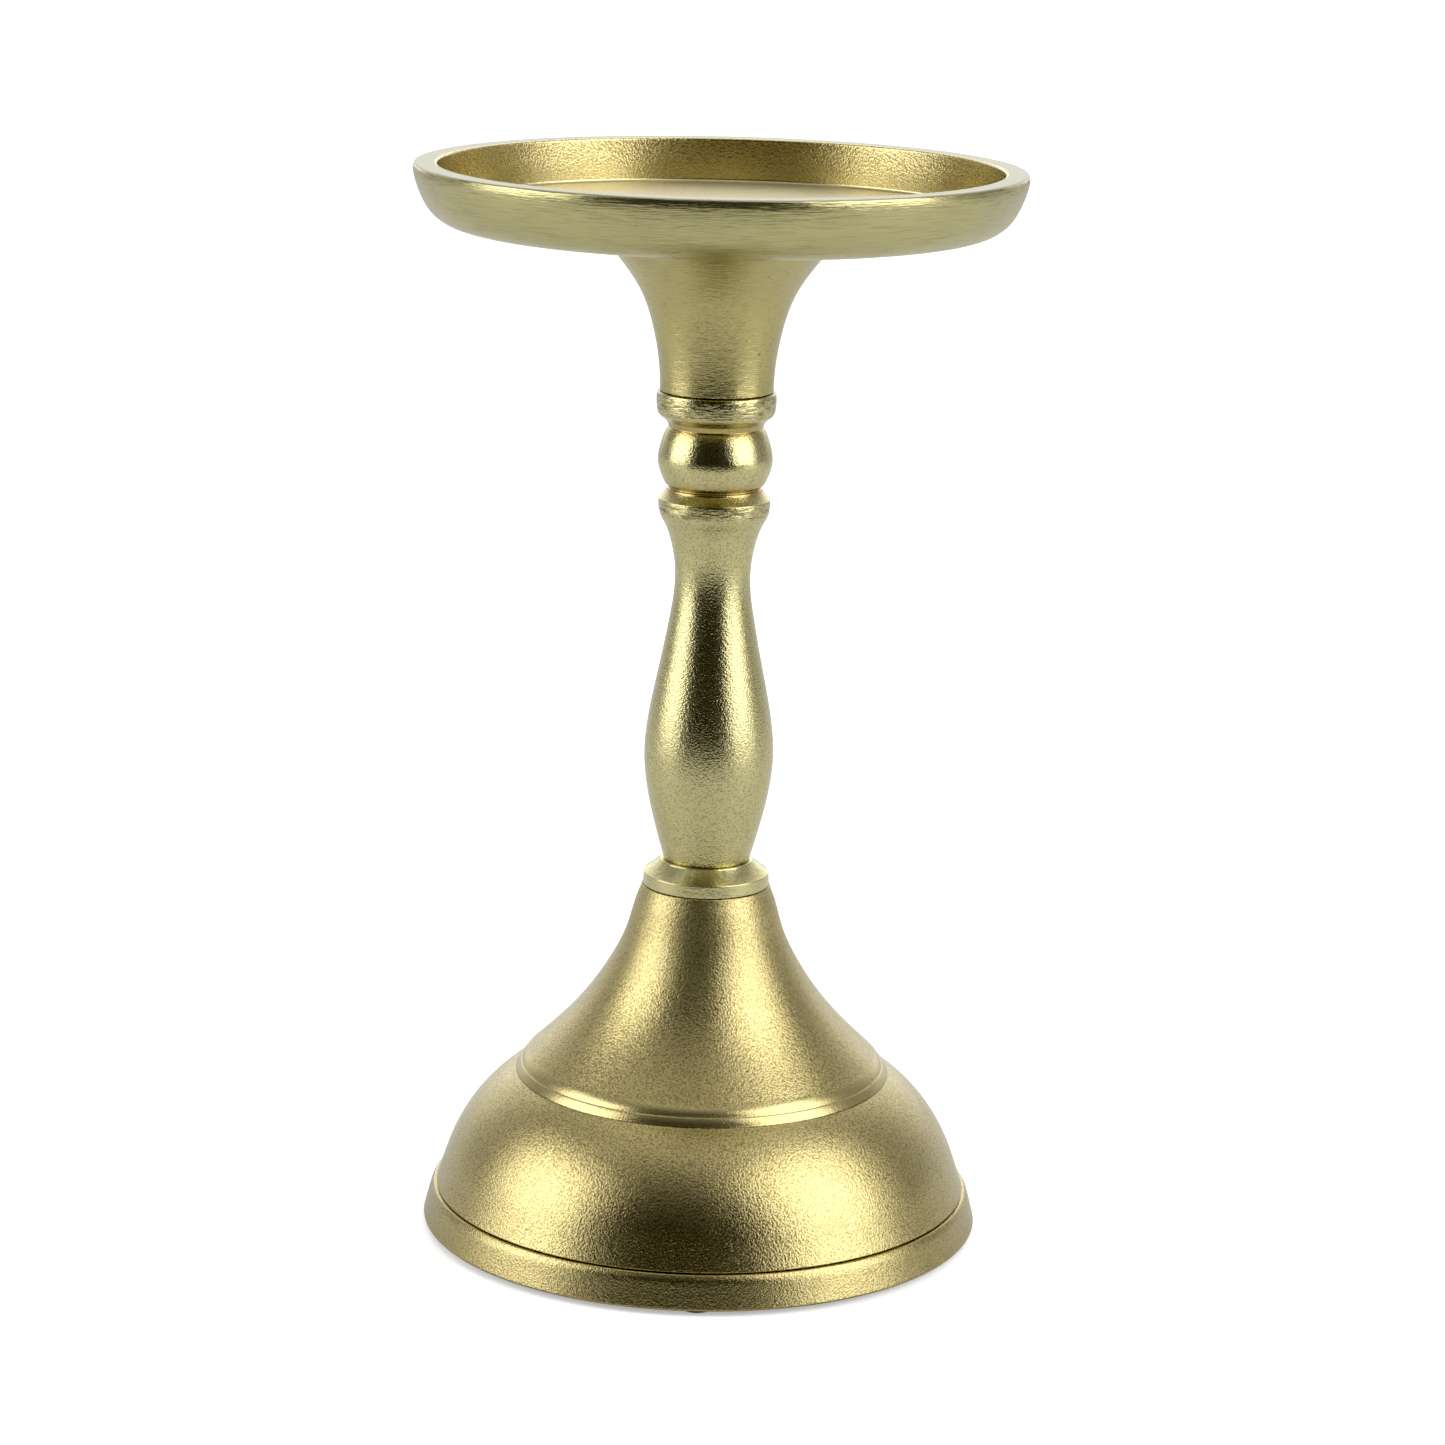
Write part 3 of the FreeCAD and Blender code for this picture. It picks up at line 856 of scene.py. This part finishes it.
def make_softbox(name, azimuth, elevation, wide, high, radiance):
    """An area light that faces the middle of the object."""
    a, e = math.radians(azimuth), math.radians(elevation)
    away = Vector((math.sin(a) * math.cos(e), -math.cos(a) * math.cos(e), math.sin(e)))
    data = bpy.data.lights.new(name, "AREA")
    data.shape = "RECTANGLE"
    data.size = 2 * SOFTBOX_AWAY * math.tan(math.radians(wide / 2))
    data.size_y = 2 * SOFTBOX_AWAY * math.tan(math.radians(high / 2))
    data.energy = radiance * math.pi * data.size * data.size_y
    light = bpy.data.objects.new(name, data)
    middle = (cad_box[0] + cad_box[1]) / 2
    light.location = middle + away * SOFTBOX_AWAY
    light.rotation_euler = away.to_track_quat("Z", "Y").to_euler()
    bpy.context.scene.collection.objects.link(light)


def room_glow(room):
    """Glow by direction: a dark front, dim sides, a white back and a pale ceiling."""
    direction = room.node("TexCoord").outputs["Generated"]
    x, y, z = room.node("SeparateXYZ", {0: direction}).outputs
    turn = room.math("ARCTAN2", x, room.times(y, -1.0))
    azimuth = room.math("DEGREES", room.math("ABSOLUTE", turn))
    elevation = room.math("DEGREES", room.math("ARCSINE", z))
    front = room.ramp(elevation, *HIGH_EDGE, FRONT_GLOW, FRONT_HIGH_GLOW)
    side = room.mix_number(room.mask(azimuth, *DARK_EDGE), front, SIDE_GLOW)
    back = room.ramp(azimuth, *BACK_EDGE, 0.0, BACK_GLOW - SIDE_GLOW)
    wall = room.math("ADD", side, back)
    ceiling = room.ramp(y, *FRONT_TO_BACK, CEILING_FRONT_GLOW, CEILING_BACK_GLOW)
    floor = room.ramp(y, *FRONT_TO_BACK, FLOOR_FRONT_GLOW, FLOOR_BACK_GLOW)
    glow = room.mix_number(room.mask(elevation, *CEILING_EDGE), wall, ceiling)
    return room.mix_number(room.mask(elevation, *FLOOR_EDGE), glow, floor)


def make_world():
    """A soft studio room, which the camera itself sees as a plain white backdrop."""
    world = bpy.data.worlds.new("studio")
    world.use_nodes = True
    room = Nodes(world.node_tree)
    seen = room.node("LightPath").outputs["Is Camera Ray"]
    glow = room.mix_number(seen, room_glow(room), BACKDROP_WHITE)
    background = room.tree.nodes["Background"]
    room.tree.links.new(glow, background.inputs["Strength"])
    background.inputs["Color"].default_value = grey(1.0)
    bpy.context.scene.world = world


def set_print_contrast():
    """Standard display, with a black point as a printed photograph has."""
    view = bpy.context.scene.view_settings
    view.view_transform = "Standard"
    view.use_curve_mapping = True
    view.curve_mapping.black_level = (PRINT_BLACK,) * 3
    view.curve_mapping.update()


make_camera()
make_table()
make_dish()
make_neck()
make_stem()
make_collar()
make_bell()
make_foot()
make_fasteners()
make_felt_pads()
make_world()
for name, values in SOFTBOXES.items():
    make_softbox(name, *values)
set_print_contrast()
